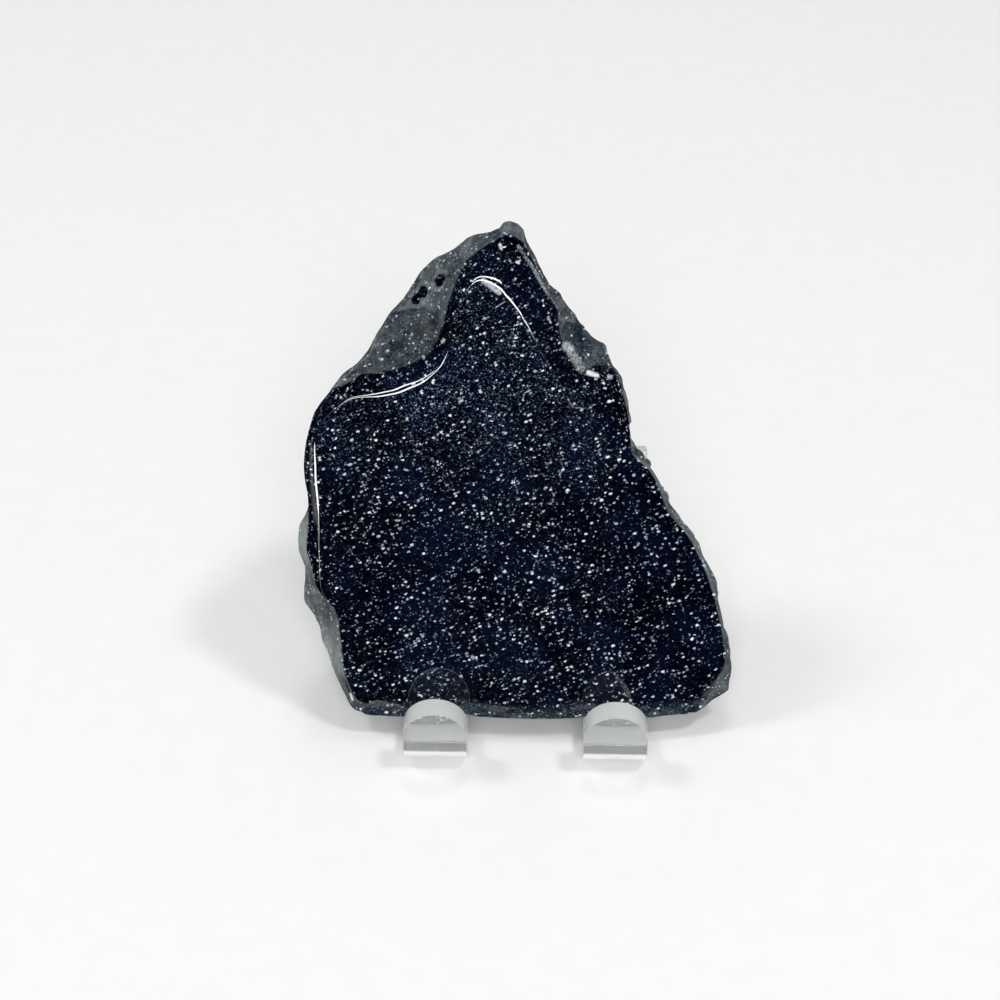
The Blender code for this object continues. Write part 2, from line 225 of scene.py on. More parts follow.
class Shading:
    """A small builder of shader nodes for one material or for the surroundings."""

    def __init__(self, name: str, tree: bpy.types.NodeTree | None = None,
                 output: str = "OutputMaterial") -> None:
        """Start with only an output, on a new material or on the tree that is given."""
        if tree is None:
            self.material = bpy.data.materials.new(name)
            self.material.use_nodes = True
            tree = self.material.node_tree
        self.tree = tree
        tree.nodes.clear()
        self.output = self.node(output)

    def node(self, kind: str, inputs: dict | None = None, **settings: object) -> bpy.types.Node:
        """Add a node.

        Args:
            kind: The node's type without the leading ShaderNode.
            inputs: Values or sockets to link, by the input's name or number.
            settings: The node's own properties.

        Returns:
            The new node.
        """
        made = self.tree.nodes.new("ShaderNode" + kind)
        for key, value in settings.items():
            setattr(made, key, value)
        for key, value in (inputs or {}).items():
            if isinstance(value, bpy.types.NodeSocket):
                self.tree.links.new(value, made.inputs[key])
            else:
                made.inputs[key].default_value = value
        return made

    def maths(self, kind: str, *values: object) -> bpy.types.NodeSocket:
        """The result of one sum on numbers or sockets."""
        return self.node("Math", dict(enumerate(values)), operation=kind).outputs[0]

    def remap(self, value: object, low: float, high: float, to_low: float = 0.0,
              to_high: float = 1.0, smooth: bool = True) -> bpy.types.NodeSocket:
        """A value carried from one range to another and held at its ends.

        Args:
            value: The socket to read.
            low: The start of the range that is read.
            high: The end of the range that is read.
            to_low: The result at low.
            to_high: The result at high.
            smooth: Whether the way between them eases in and out.

        Returns:
            The mapped value.
        """
        inputs = {"Value": value, "From Min": low, "From Max": high,
                  "To Min": to_low, "To Max": to_high}
        kind = "SMOOTHSTEP" if smooth else "LINEAR"
        return self.node("MapRange", inputs, interpolation_type=kind).outputs["Result"]

    def blend(self, share: object, first: object, second: object,
              kind: str = "MIX") -> bpy.types.NodeSocket:
        """Two colours blended by a share.

        Args:
            share: How much of the second colour.
            first: The lower colour, as a value or socket.
            second: The upper colour, as a value or socket.
            kind: How the second goes over the first.

        Returns:
            The blended colour.
        """
        inputs = {0: share, 6: first, 7: second}
        made = self.node("Mix", inputs, data_type="RGBA", blend_type=kind)
        return made.outputs[2]

    def noise(self, where: object, size: float, detail: float = 2.0,
              roughness: float = 0.5) -> bpy.types.NodeSocket:
        """Noise from 0 to 1 whose lumps are about as large as the size, in metres."""
        inputs = {"Vector": where, "Scale": 1.0 / size, "Detail": detail, "Roughness": roughness}
        return self.node("TexNoise", inputs).outputs["Fac"]

    def attribute(self, name: str) -> bpy.types.NodeSocket:
        """A number stored on the piece's own mesh."""
        return self.node("Attribute", attribute_name=name).outputs["Fac"]

    def places(self) -> bpy.types.NodeSocket:
        """Object coordinates."""
        return self.node("TexCoord").outputs["Object"]

    def vector(self, kind: str, *values: object) -> bpy.types.NodeSocket:
        """The result of one sum on vectors, a number for a dot product or a distance."""
        made = self.node("VectorMath", dict(enumerate(values)), operation=kind)
        return made.outputs[1 if kind in ("DOT_PRODUCT", "DISTANCE") else 0]

    def near_line(self, where: object, start: Point, end: Point,
                  radius: float) -> bpy.types.NodeSocket:
        """How near a place is to a short straight line.

        Args:
            where: The place.
            start: The line's start, in metres.
            end: Its end, apart from the start.
            radius: How far the line reaches.

        Returns:
            1 on the line and 0 past the radius. The place's share of the way along is the dot
            product with the line's direction, held between its ends.
        """
        along = np.array(end) - np.array(start)
        length = float(np.linalg.norm(along))
        way = tuple(along / length)
        offset = self.vector("SUBTRACT", where, tuple(start))
        share = self.remap(self.vector("DOT_PRODUCT", offset, way), 0.0, length, 0.0, length, False)
        reach = self.node("VectorMath", {0: way, "Scale": share}, operation="SCALE").outputs[0]
        return self.remap(self.vector("DISTANCE", offset, reach), radius, 0.35 * radius)


@dataclass(frozen=True)
class GlintingFlakeLayer:
    """One size of silvery flake inside the stone.

    A flake is a small ball round a random point, and the surface cuts it to a disc. It is painted into the base
    colour as a bright spot: the flake's silvery tone together with a painted glint.
    """

    cell: float
    lit_share: float
    reach: float
    strength: float
    falloff: float
    seed: float
    tint: Colour = (1.0, 1.0, 1.0, 1.0)


@dataclass(frozen=True)
class GlintAndScratch:
    """A small bright spot on the face, a short line in (u, v), in mm. Most are painted glints and reflections
    at chips, creases and ridges; a few are real scratches and one is a cloudy grey spot.
    """

    start: Point
    end: Point
    radius: float
    strength: float
    depth: float = 0.0


@dataclass(frozen=True)
class HematiteFinish:
    """Deep blue-black stone full of flakes: a glassy polished face and frosted grey breaks."""

    depth: Colour = (0.0003, 0.0002, 0.0024, 1.0)
    depth_blue: Colour = (0.0007, 0.0018, 0.0090, 1.0)
    frost_dark: Colour = (0.004, 0.010, 0.018, 1.0)
    frost_light: Colour = (0.290, 0.320, 0.322, 1.0)
    frost_warm: Colour = (0.030, 0.030, 0.027, 1.0)
    # White of the painted glints and reflections, and of the few scratches.
    glint_colour: Colour = (0.80, 0.85, 0.86, 1.0)
    layers: tuple[GlintingFlakeLayer, ...] = (
        GlintingFlakeLayer(0.00019, 0.70, 0.52, 0.26, 2.4, 0.071, (0.50, 0.72, 1.00, 1.0)),
        GlintingFlakeLayer(0.00026, 0.34, 0.50, 1.00, 4.4, 0.000, (0.80, 0.87, 1.00, 1.0)),
        GlintingFlakeLayer(0.00040, 0.12, 0.48, 1.00, 0.8, 0.137, (0.94, 0.97, 1.00, 1.0)),
        GlintingFlakeLayer(0.00085, 0.09, 0.27, 1.00, 0.5, 0.311),
    )
    stretch: Point = (1.5, 1.0, 0.33)
    slant: float = math.radians(20.0)
    # Mostly painted glints and reflections at chips, creases and ridges; a few are scratches and one is a
    # cloudy grey spot.
    glints_and_scratches: tuple[GlintAndScratch, ...] = (
        GlintAndScratch((-4.7, 58.8), (-2.7, 57.3), 0.45, 0.72, -0.1),
        GlintAndScratch((5.9, 50.0), (6.6, 49.6), 0.75, 0.62, -2.5),
        GlintAndScratch((6.6, 49.2), (8.0, 47.2), 0.80, 0.40, -2.5),
        GlintAndScratch((8.9, 46.5), (10.1, 46.2), 0.42, 1.00, -2.5),
        GlintAndScratch((-24.8, 47.2), (-22.0, 48.6), 1.30, 0.14, -1.8),
        GlintAndScratch((-0.4, 62.9), (1.8, 59.6), 0.30, 0.40, -2.5),
        GlintAndScratch((1.8, 59.6), (4.9, 54.9), 0.40, 0.46, -2.5),
        GlintAndScratch((11.6, 45.9), (11.9, 45.8), 0.38, 0.90, -3.0),
        GlintAndScratch((3.5, 53.9), (3.9, 53.2), 0.26, 0.85, -2.0),
        GlintAndScratch((-0.5, 61.0), (-0.3, 60.9), 0.24, 0.90, -1.5),
        GlintAndScratch((-2.7, 63.1), (-2.5, 62.6), 0.30, 0.80, -2.0),
        GlintAndScratch((-5.1, 61.3), (-4.1, 62.6), 0.26, 0.70, -2.8),
        GlintAndScratch((-12.8, 48.4), (-12.5, 48.4), 0.34, 1.00, -2.0),
        GlintAndScratch((-9.9, 50.6), (-9.7, 50.9), 0.34, 0.80, -1.5),
        GlintAndScratch((-22.0, 1.6), (-22.2, 2.4), 0.32, 0.90, -0.3),
        GlintAndScratch((0.4, 43.3), (0.7, 44.3), 0.09, 0.60),
        GlintAndScratch((0.7, 44.3), (1.5, 44.7), 0.09, 0.60),
        GlintAndScratch((-3.1, 55.4), (-1.9, 56.2), 0.09, 0.60),
        GlintAndScratch((6.1, 43.9), (6.9, 42.5), 0.12, 0.24),
        GlintAndScratch((6.9, 42.5), (9.4, 42.2), 0.14, 0.26),
    )
    hues: tuple[tuple[float, Colour], ...] = (
        (0.00, (0.86, 0.92, 1.00, 1.0)),
        (0.38, (1.00, 1.00, 0.98, 1.0)),
        (0.80, (0.55, 0.86, 0.90, 1.0)),
        (0.89, (0.50, 0.62, 0.86, 1.0)),
        (0.965, (0.58, 0.58, 0.90, 1.0)),
        (0.985, (0.95, 0.93, 0.72, 1.0)),
    )
    coat_roughness: float = 0.03
    coat_ior: float = 1.8
    specular: float = 0.0

    def flakes(self, sh: Shading, where: bpy.types.NodeSocket,
               layer: GlintingFlakeLayer) -> tuple[bpy.types.NodeSocket, bpy.types.NodeSocket]:
        """One layer of flakes, painted bright together with their glints.

        Args:
            sh: The material's builder.
            where: Places on the leaning face, slightly warped.
            layer: The layer's sizes.

        Returns:
            How bright the layer is here, and its colour.
        """
        moved = sh.node("Mapping", {"Vector": where, "Location": (layer.seed,) * 3}).outputs[0]
        cells = sh.node("TexVoronoi", {"Vector": moved, "Scale": 1.0 / layer.cell})
        parts = sh.node("SeparateColor", {0: cells.outputs["Color"]}).outputs
        lit = sh.maths("LESS_THAN", parts[0], layer.lit_share)
        shine = sh.maths("POWER", parts[1], layer.falloff)
        disc = sh.remap(cells.outputs["Distance"], layer.reach, layer.reach * 0.62)
        bright = sh.maths("MULTIPLY", sh.maths("MULTIPLY", disc, lit), shine)
        ramp = sh.node("ValToRGB", {0: parts[2]})
        ramp.color_ramp.interpolation = "CONSTANT"
        stops = ramp.color_ramp.elements
        while len(stops) < len(self.hues):
            stops.new(1.0)
        for stop, (place, colour) in zip(stops, self.hues):
            stop.position, stop.color = place, colour
        hue = sh.blend(1.0, ramp.outputs[0], layer.tint, "MULTIPLY")
        return sh.maths("MULTIPLY", bright, layer.strength), hue

    def build(self) -> bpy.types.Material:
        """Make the material.

        Returns:
            The material. It reads the piece's numbers break_mm (how far past the line where the
            polish ends), pale (how light the break is), calm (how few fine flakes),
            ridge_wear_and_highlight (how much an edge stands out; ridges are lightened by it, partly as
            edge wear and partly as a painted highlight) and polish (how glassy it is).
        """
        sh = Shading("glittering_hematite")
        where = sh.places()
        breakage = sh.attribute("break_mm")
        pale = sh.attribute("pale")
        calm = sh.attribute("calm")
        ridge_wear_and_highlight = sh.attribute("ridge_wear_and_highlight")

        turned = {"Vector": where, "Location": tuple(FACE_FOOT * MM),
                  "Rotation": (math.pi / 2 - LEAN, 0.0, 0.0), "Scale": (1.0, 1.0, 3.0)}
        on_face = sh.node("Mapping", turned, vector_type="TEXTURE").outputs[0]

        ragged = sh.maths("MULTIPLY_ADD", sh.noise(where, 0.0011, 3.0), 1.0, -0.5)
        broken = sh.remap(sh.maths("ADD", breakage, ragged), -0.25, 0.45)

        tint = sh.noise(where, 0.0070, 2.0)
        colour = sh.blend(sh.remap(tint, 0.38, 0.64), self.depth, self.depth_blue)
        clusters = sh.remap(sh.noise(where, 0.0042, 3.0, 0.6), 0.30, 0.66, 0.45, 1.15)
        height = sh.node("SeparateXYZ", {0: where}).outputs[2]
        fine = sh.maths("MULTIPLY", clusters, sh.remap(calm, 0.0, 1.0, 1.0, 0.60, False))
        mist = sh.maths("MULTIPLY", sh.remap(calm, 0.0, 0.6, 1.0, 0.25),
                        sh.remap(height, 0.030, 0.046, 0.20, 1.0))
        mist = sh.maths("MULTIPLY", mist, sh.remap(sh.noise(where, 0.0065, 3.0), 0.35, 0.62, 0.5, 1.3))
        dusted = sh.maths("MULTIPLY", broken, sh.remap(pale, 0.11, 0.05, 0.0, 1.1))
        mist = sh.maths("MAXIMUM", mist, dusted)

        frost_noise = sh.noise(where, 0.0032, 5.0, 0.68)
        grain = sh.noise(where, 0.00034, 3.0, 0.7)
        light = sh.maths("ADD", pale, sh.remap(frost_noise, 0.3, 0.7, -0.17, 0.17, False))
        # Ridges are lightened: partly crushed-edge wear, partly a painted highlight where light catches them.
        light = sh.maths("ADD", light, sh.maths("MULTIPLY", ridge_wear_and_highlight, 0.30))
        light = sh.maths("ADD", light, sh.remap(grain, 0.3, 0.7, -0.11, 0.13, False))
        frost = sh.blend(sh.remap(light, 0.0, 1.0, 0.0, 1.0, False), self.frost_dark,
                         self.frost_light)
        warmth = sh.remap(sh.noise(where, 0.0055, 2.0), 0.52, 0.70, 0.0, 0.35)
        frost = sh.blend(warmth, frost, self.frost_warm)
        colour = sh.blend(broken, colour, frost)

        jitter = sh.node("TexNoise", {"Vector": where, "Scale": 1 / 0.00022, "Detail": 1.0})
        shift = sh.vector("SUBTRACT", jitter.outputs["Color"], (0.5, 0.5, 0.5))
        bent = sh.vector("MULTIPLY_ADD", shift, (0.00022,) * 3, on_face)
        lie = {"Vector": bent, "Rotation": (0.0, 0.0, self.slant), "Scale": self.stretch}
        laid = sh.node("Mapping", lie, vector_type="TEXTURE").outputs[0]
        amounts = (mist, fine, None, None)
        # Flakes go into the base colour as bright spots: their own silvery tone with a painted glint.
        for layer, amount in zip(self.layers, amounts):
            bright, hue = self.flakes(sh, laid, layer)
            if amount is None:
                amount = sh.remap(broken, 0, 1, 1.0, 0.9, False)
            bright = sh.maths("MULTIPLY", bright, amount)
            colour = sh.blend(sh.maths("MINIMUM", bright, 1.0), colour, hue)
        # Lay the painted glints and reflections, and the few scratches, over the colour in white.
        for glint in self.glints_and_scratches:
            ends = [(u * MM, v * MM, glint.depth * MM / 3) for u, v in (glint.start, glint.end)]
            near = sh.near_line(bent, *ends, glint.radius * MM)
            mottle = sh.remap(grain, 0.38, 0.60, glint.strength**3, glint.strength)
            colour = sh.blend(sh.maths("MULTIPLY", near, mottle), colour, self.glint_colour)

        roughness = sh.remap(broken, 0.0, 1.0, 0.30, 0.50, False)
        roughness = sh.maths("ADD", roughness, sh.remap(frost_noise, 0.3, 0.7, -0.06, 0.06))
        coat = sh.remap(broken, 0.0, 1.0, 1.0, 0.12, False)
        coat = sh.maths("MULTIPLY", coat, sh.attribute("polish"))
        height = sh.maths("ADD", sh.noise(where, 0.00045, 3.0, 0.6),
                          sh.maths("MULTIPLY", grain, 0.5))
        height = sh.maths("MULTIPLY", height, broken)
        bump = sh.node("Bump", {"Height": height, "Distance": 0.00012, "Strength": 0.9})
        shader = sh.node("BsdfPrincipled", {
            "Base Color": colour,
            "Roughness": roughness,
            "Specular IOR Level": self.specular,
            "Coat Weight": coat,
            "Coat Roughness": self.coat_roughness,
            "Coat IOR": self.coat_ior,
            "Normal": bump.outputs[0],
        })
        sh.tree.links.new(shader.outputs[0], sh.output.inputs["Surface"])
        return sh.material


@dataclass(frozen=True)
class AcrylicFinish:
    """Clear polished acrylic with a faint haze, partly from handling and partly a painted brightening that
    stands in for light carried through the sheet.
    """

    tint: Colour = (0.985, 0.992, 0.992, 1.0)
    ior: float = 1.49
    absorption: Colour = (0.90, 0.94, 0.93, 1.0)
    absorption_density: float = 2.0
    sawn_roughness: float = 0.10
    sawn_clearness: float = 0.62
    bottom_clearness: float = 0.08
    face_clearness: float = 0.86
    foot_clearness: float = 0.12

    def build(self, name: str, sawn: bool) -> bpy.types.Material:
        """Make the material.

        Args:
            name: Its name.
            sawn: Whether it is for the cut edges, which are slightly frosted, or for the faces.

        Returns:
            The material. The bend under each lip is frosted, and a face is frosted at its foot
            next to the table. The frosting and the haze show the white base colour: partly real
            scuffing, partly painted light standing in for the light the sheet carries to its feet.
        """
        sh = Shading(name)
        where = sh.places()
        haze = sh.remap(sh.noise(where, 0.0035, 4.0, 0.65), 0.45, 0.75, 0.006, 0.05)
        parts = sh.node("SeparateXYZ", {0: where}).outputs
        # The front of each lip's foot is frosted white: partly scuffing, partly painted light standing in for
        # light the sheet carries down to it.
        frosted_lit_foot = sh.maths("MULTIPLY", sh.remap(parts[2], 0.0038, 0.0030),
                        sh.remap(parts[1], -0.0186, -0.0194))
        face_and_foot_clearness = sh.remap(frosted_lit_foot, 0.0, 1.0, self.face_clearness, self.foot_clearness)
        # The underside next to the table is frosted white: partly scuffing, partly painted light.
        edge = sh.remap(parts[2], 0.0006, 0.0001, 1.0, self.bottom_clearness)
        frosted_and_lit_clearness = sh.maths("MINIMUM", face_and_foot_clearness, edge)
        if sawn:
            haze = sh.maths("ADD", haze, self.sawn_roughness)
        shader = sh.node("BsdfPrincipled", {
            "Base Color": self.tint,
            "Roughness": haze,
            "IOR": self.ior,
            "Transmission Weight": self.sawn_clearness if sawn else frosted_and_lit_clearness,
        })
        inside = sh.node("VolumeAbsorption", {"Color": self.absorption,
                                              "Density": self.absorption_density})
        sh.tree.links.new(shader.outputs[0], sh.output.inputs["Surface"])
        sh.tree.links.new(inside.outputs[0], sh.output.inputs["Volume"])
        return sh.material


@dataclass
class HematiteSlab:
    """The stone: one closed surface over an angle round its middle and a way from front to back.

    Outlines are in millimetres on the polished face: u to the right, v up, w towards the viewer.
    """

    middle: Point = (0.0, 26.0)
    columns: int = 560
    rows: tuple[int, ...] = (40, 30, 38, 16, 16, 10, 12)
    face_edge: list[Point] = field(default_factory=lambda: [
        (-21.3, 1.5), (-6.5, 1.4), (9.3, 1.4), (23.6, 1.4), (26.0, 2.6), (27.4, 4.5), (28.0, 7.0),
        (27.5, 10.5), (26.8, 13.6), (25.8, 17.0), (23.6, 22.4), (21.3, 26.2), (19.9, 27.4),
        (18.9, 29.0), (18.3, 30.9), (17.2, 33.4), (16.2, 34.5), (14.8, 35.6), (14.1, 36.9),
        (13.5, 39.3), (13.1, 41.7), (11.8, 43.6), (9.1, 42.9), (5.5, 45.1), (3.2, 48.8),
        (1.4, 52.1), (-0.8, 55.4), (-2.5, 57.4), (-4.5, 58.8), (-5.8, 58.7), (-7.5, 56.8),
        (-8.6, 53.2), (-8.8, 50.0), (-9.8, 47.6), (-12.2, 45.2), (-15.0, 43.8), (-17.8, 43.2),
        (-21.2, 43.4), (-23.3, 42.2), (-25.4, 40.3), (-26.4, 37.7), (-26.2, 34.5), (-25.9, 29.5), (-26.0, 25.5),
        (-26.0, 21.3), (-25.9, 17.1), (-23.8, 14.1), (-23.3, 10.1), (-22.9, 5.6),
    ])
    shoulder: list[Point] = field(default_factory=lambda: [
        (-21.6, 0.6, -0.3), (23.7, 0.6, -0.5), (28.6, 6.8, -3.2), (28.0, 10.6, -3.4),
        (26.3, 17.1, -3.2), (22.5, 25.2, -3.0), (20.5, 27.5, -3.0), (18.0, 33.2, -2.5),
        (14.8, 37.0, -2.5), (13.4, 43.0, -3.0), (12.0, 46.0, -3.5), (9.8, 46.6, -3.0),
        (7.8, 45.9, -2.0), (6.2, 48.8, -2.0), (5.2, 51.5, -2.0), (3.9, 55.0, -2.0),
        (2.0, 59.0, -2.0), (-0.2, 62.8, -2.0), (-1.8, 64.3, -2.5), (-4.2, 62.9, -1.6),
        (-7.1, 61.2, -1.7), (-7.8, 59.0, -2.0), (-9.2, 55.8, -2.0), (-9.8, 52.4, -2.0),
        (-10.8, 50.4, -2.0), (-11.9, 48.5, -2.0), (-16.0, 47.4, -1.5), (-18.7, 46.6, -1.4),
        (-21.2, 46.9, -1.5), (-23.3, 45.9, -1.7), (-25.0, 43.8, -2.0), (-26.2, 41.8, -2.0),
        (-27.5, 37.5, -0.9), (-27.7, 33.0, -0.8), (-27.4, 28.5, -0.9), (-27.0, 24.0, -1.3),
        (-27.0, 17.5, -1.5), (-25.2, 14.0, -1.5), (-24.6, 10.0, -1.5), (-23.9, 5.5, -1.3),
    ])
    girdle: list[Point] = field(default_factory=lambda: [
        (-2.8, 64.8, -5.0), (-2.4, 65.6, -5.0), (-1.5, 65.8, -5.0), (-0.4, 65.5, -5.0),
        (0.3, 64.7, -5.0), (0.7, 63.4, -5.0), (1.4, 62.1, -5.0), (2.4, 59.9, -5.0),
        (3.8, 57.7, -5.0), (5.2, 56.4, -5.0), (5.8, 55.3, -5.0), (8.7, 51.9, -5.0),
        (10.3, 50.8, -5.0), (11.3, 50.1, -5.0), (11.5, 49.1, -5.0), (12.2, 47.0, -5.0),
        (13.3, 45.5, -5.0), (13.5, 44.3, -5.0), (14.5, 40.9, -5.0), (15.0, 39.3, -5.0),
        (14.8, 37.1, -5.0), (15.2, 36.0, -5.0), (17.4, 34.3, -5.0), (18.5, 33.3, -5.0),
        (19.5, 31.2, -5.0), (20.5, 28.8, -5.0), (22.0, 26.8, -5.0), (23.7, 24.6, -5.0),
        (24.8, 22.4, -5.0), (25.6, 20.0, -5.0), (26.8, 17.1, -5.0), (27.6, 13.6, -5.0),
        (28.2, 10.7, -5.0), (29.1, 7.9, -5.0), (29.3, 5.3, -4.5), (28.8, 2.4, -4.0),
        (26.7, 1.3, -3.0), (25.1, 0.3, -2.0), (23.7, -0.3, -1.5), (18.0, -0.5, -1.2),
        (9.4, -0.4, -1.0), (-6.6, -0.3, -1.0), (-21.6, -0.3, -1.0), (-22.3, 0.2, -1.5),
        (-23.6, 1.8, -3.0), (-24.9, 4.6, -4.5), (-25.9, 5.8, -6.5), (-26.6, 7.5, -7.0),
        (-26.9, 9.6, -7.0), (-27.9, 11.6, -7.0), (-29.1, 13.3, -7.0), (-29.2, 15.0, -7.0),
        (-28.8, 16.5, -7.0), (-28.9, 18.3, -7.0), (-29.6, 20.4, -7.0), (-29.7, 22.1, -7.0),
        (-29.4, 24.0, -7.0), (-28.5, 25.8, -6.0), (-28.0, 27.4, -5.0), (-28.0, 29.0, -5.0),
        (-28.4, 31.0, -5.0), (-28.5, 33.0, -5.0), (-28.2, 35.8, -5.0), (-27.7, 37.9, -5.0),
        (-27.1, 39.9, -6.0), (-26.2, 41.2, -7.0), (-25.5, 42.1, -7.0), (-24.5, 43.5, -7.5),
        (-23.6, 44.7, -8.0), (-22.3, 45.7, -8.0), (-20.7, 47.1, -8.0), (-19.9, 48.1, -8.0),
        (-18.9, 50.2, -8.0), (-17.2, 52.9, -8.5), (-15.5, 54.8, -8.5), (-14.0, 57.0, -8.5),
        (-13.0, 58.6, -8.5), (-11.9, 59.8, -8.5), (-10.0, 61.1, -8.0), (-8.4, 62.3, -7.5),
        (-6.8, 63.3, -7.0), (-5.0, 64.0, -6.0), (-3.7, 64.4, -5.5),
    ])
    back_edge: list[Point] = field(default_factory=lambda: [
        (-2.5, 60.5, -11.0), (4.0, 54.0, -11.5), (10.5, 45.5, -12.5), (14.0, 36.0, -13.0),
        (20.0, 26.0, -13.5), (25.5, 16.0, -13.0), (27.0, 7.0, -12.0), (24.0, 4.5, -11.5),
        (10.0, 5.2, -13.8), (-8.0, 5.2, -14.0), (-20.0, 5.2, -13.0), (-25.0, 9.0, -12.5),
        (-26.5, 16.0, -12.5), (-27.0, 24.0, -12.5), (-25.5, 34.0, -13.0), (-23.0, 40.5, -13.5),
        (-17.5, 47.5, -13.5), (-12.5, 55.0, -13.0), (-7.5, 60.0, -11.5),
    ])
    back_depth: float = 14.1
    back_share: float = 0.8
    ring_step: float = 0.15
    wall_bulge: float = 0.3
    roll: list[Point] = field(default_factory=lambda: [
        (28.9, 6.0, 0.35, 1.0), (0.0, 0.0, 0.35, 0.3), (-23.4, 2.0, 0.50, 0.5),
        (-24.6, 10.0, 0.60, 0.4), (-26.5, 17.0, 0.08, 0.3), (-27.3, 27.6, 0.26, 0.2),
        (-27.3, 29.4, 0.95, 0.2), (-27.3, 37.0, 0.95, 0.2),
        (-26.2, 41.8, 0.03, 0.2), (-23.9, 43.7, 0.30, 0.2), (-22.0, 44.6, 0.95, 0.2),
        (-18.0, 44.0, 0.46, 0.2), (-12.2, 45.7, 0.95, 0.3), (-10.0, 47.3, 0.85, 0.3),
        (-9.0, 50.0, 0.40, 0.3), (-8.6, 52.5, 0.03, 0.3), (-6.6, 58.3, 0.03, 0.3),
        (-5.3, 60.0, 1.00, 0.3), (-3.0, 60.0, 0.85, 0.4), (-0.5, 57.5, 0.26, 0.9),
        (1.4, 52.4, 0.18, 0.9), (2.2, 51.0, 0.015, 0.9), (8.0, 46.0, 0.015, 0.9),
        (13.4, 43.0, 0.35, 0.9), (18.0, 33.0, 0.35, 2.2), (27.0, 16.0, 0.35, 2.2),
    ])
    outline_softness: float = 0.5
    crease_softness: float = 2.2
    back_softness: float = 4.0
    face_breaks: tuple[tuple[Point, Point], ...] = (
        ((9.5, 36.0, 0.0), (0.170, 0.020, 0.985)),
        ((5.4, 46.0, 0.0), (0.200, 0.105, 0.974)),
    )
    back_breaks: tuple[tuple[Point, Point], ...] = (
        ((0.0, 38.0, -14.2), (0.02, 0.17, -0.98)),
        ((18.0, 20.0, -14.2), (0.26, -0.02, -0.96)),
        ((-19.0, 22.0, -14.2), (-0.24, 0.08, -0.96)),
    )
    base_height: float = 3.3
    scoops: tuple[tuple[Point, Point, float, float], ...] = (
        ((-13.0, 53.6, -5.2), (-0.66, 0.20, 0.72), 16.0, 0.6),
        ((-16.0, 49.5, -5.0), (-0.60, 0.35, 0.72), 12.0, 0.5),
        ((-9.2, 60.6, -5.0), (-0.72, 0.42, 0.55), 10.0, 0.4),
        ((7.0, 50.5, -3.6), (0.65, 0.32, 0.69), 12.0, 0.4),
        ((14.9, 37.6, -4.5), (0.95, 0.05, 0.30), 8.0, 0.35),
        ((21.2, 27.0, -5.0), (0.82, 0.50, 0.28), 12.0, 0.3),
        ((-28.0, 17.0, -4.0), (-0.82, 0.10, 0.56), 8.0, 0.4),
        ((-25.8, 8.5, -4.5), (-0.84, -0.14, 0.52), 8.0, 0.4),
        ((2.0, 52.0, -13.0), (0.10, 0.35, -0.93), 30.0, 1.6),
        ((-16.0, 40.0, -14.0), (-0.30, 0.28, -0.91), 28.0, 1.6),
        ((20.0, 12.0, -13.5), (0.34, -0.20, -0.92), 24.0, 1.4),
        ((-21.0, 10.0, -13.5), (-0.36, -0.22, -0.91), 22.0, 1.4),
    )
    pits: tuple[tuple[Point, Point, float, float], ...] = (
        ((-10.8, 58.1, -5.4), (-0.66, 0.20, 0.72), 1.05, 0.75),
        ((-13.2, 56.0, -6.6), (-0.66, 0.20, 0.72), 0.95, 0.60),
        ((-13.9, 55.3, -6.9), (-0.66, 0.20, 0.72), 0.85, 0.50),
    )
    break_line: list[Point] = field(default_factory=lambda: [
        (28.9, 6.0, 1.25, 0.7), (24.0, 0.0, 0.98, 0.35), (9.0, 0.0, 0.97, 0.35),
        (-20.0, 0.0, 0.97, 0.35), (-23.2, 3.0, 1.6, 0.9), (-23.8, 5.0, 1.05, 1.0),
        (-25.4, 14.0, 1.02, 1.0), (-26.6, 16.4, 1.4, 1.0), (-27.2, 18.5, 2.4, 1.0), (-27.3, 26.0, 2.4, 1.0),
        (-27.3, 29.0, 3.4, 1.0), (-27.0, 38.0, 3.4, 1.0), (-26.2, 41.8, 2.9, 1.0),
        (-24.0, 44.5, 2.2, 1.0), (-22.0, 46.5, 2.0, 1.0), (-11.9, 48.5, 2.0, 1.0),
        (-9.2, 55.8, 2.0, 1.0), (-6.0, 62.0, 2.0, 1.0), (-1.8, 64.3, 2.2, 1.0),
        (1.0, 61.0, 2.5, 1.0), (4.0, 55.0, 2.5, 1.0), (5.2, 51.5, 2.1, 1.0),
        (8.0, 46.0, 1.95, 1.0), (11.5, 46.0, 2.7, 1.0), (13.4, 43.0, 2.3, 1.0),
        (15.5, 35.8, 1.35, 1.0), (20.5, 27.5, 1.25, 1.0), (26.3, 17.1, 1.25, 1.0),
    ])
    lightness: list[Point] = field(default_factory=lambda: [
        (28.9, 6.0, 0.22), (24.0, 0.0, 0.09), (9.0, 0.0, 0.02), (-20.0, 0.0, 0.02),
        (-23.4, 3.0, 0.30), (-24.6, 8.0, 1.00), (-26.6, 12.0, 0.28), (-27.5, 17.5, 0.40),
        (-28.0, 22.0, 1.05), (-27.3, 29.0, 0.25), (-26.2, 41.8, 0.22), (-22.0, 46.5, 0.15),
        (-11.9, 48.5, 0.15), (-9.2, 55.8, 0.17), (-6.0, 62.0, 0.17), (-1.8, 64.3, 0.15),
        (1.0, 61.0, 0.20), (4.5, 55.0, 0.17), (6.5, 52.0, 0.10), (8.5, 49.0, 0.08),
        (11.5, 46.0, 0.06), (13.4, 43.0, 0.24), (15.5, 35.8, 0.34), (20.5, 27.5, 0.30),
        (26.3, 17.1, 0.30),
    ])
    chip_count: int = 90
    seed: int = 7

